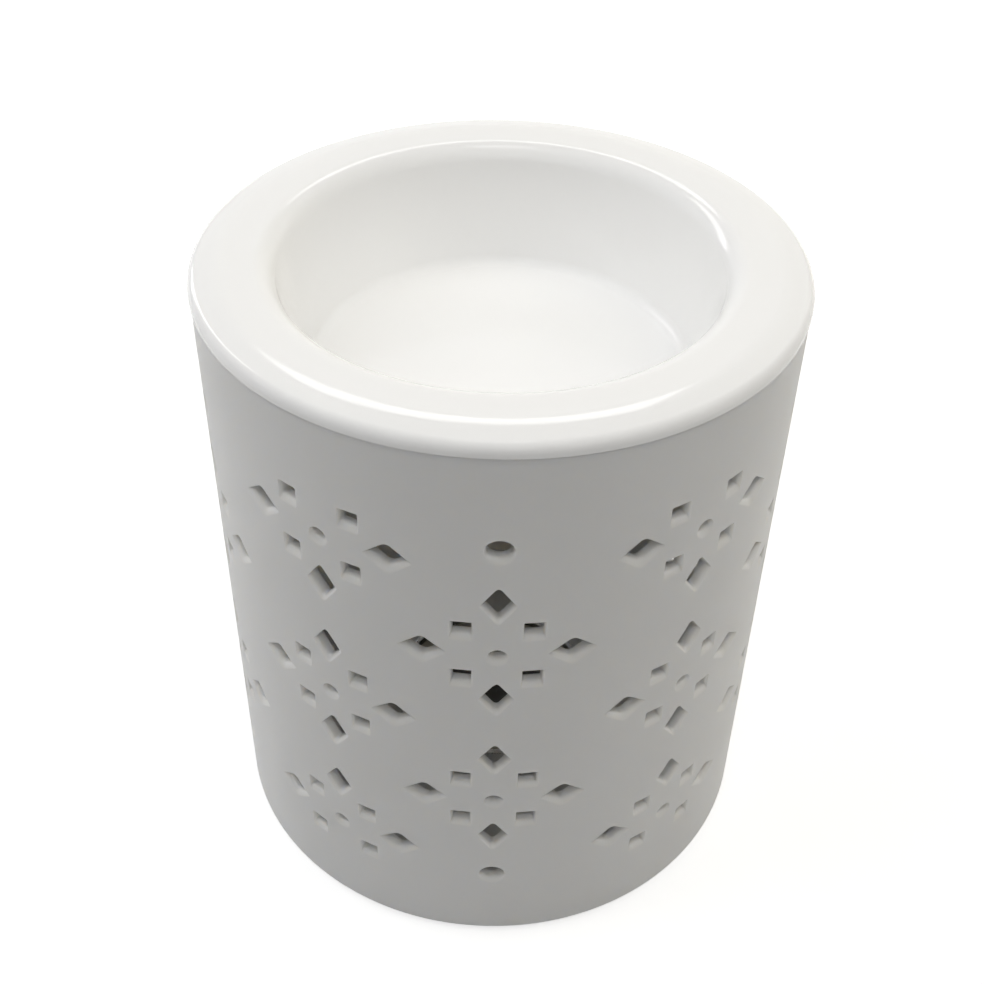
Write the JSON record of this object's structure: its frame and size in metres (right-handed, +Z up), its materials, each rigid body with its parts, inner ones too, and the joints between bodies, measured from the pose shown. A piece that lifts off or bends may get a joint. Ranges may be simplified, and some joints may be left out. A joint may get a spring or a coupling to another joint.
{
  "type": "essential oil burner",
  "caption": "Pierced ceramic oil burner: a straight round body with cut-out flakes, a lift-off glazed dish for oil and water on top, and a tea light standing inside.",
  "frame": {"origin": "centre of the base, on the plane that the foot ring stands on", "axes": "+Z up along the body's axis, -Y towards the side that the picture shows"},
  "size_m": [0.0996, 0.0996, 0.115],
  "materials": {
    "body_glaze": "satin",
    "dish_glaze": "gloss",
    "cup_aluminium": "satin",
    "candle_wax": "satin",
    "wick_cotton": "matte",
    "tab_tinplate": "satin"
  },
  "bodies": {
    "burner": {"burner_body": "body_glaze"},
    "dish": {"oil_dish": "dish_glaze"},
    "tealight": {"tealight_cup": "cup_aluminium", "tealight_wax": "candle_wax", "wick": "wick_cotton", "wick_tab": "tab_tinplate"}
  },
  "joints": [
    {"name": "dish_lift", "type": "slide", "parent": "burner", "child": "dish", "axis": [0, 0, 1], "range_m": [0, 0.05]},
    {"name": "tealight_lift", "type": "slide", "parent": "burner", "child": "tealight", "axis": [0, 0, 1], "range_m": [0, 0.045]}
  ]
}
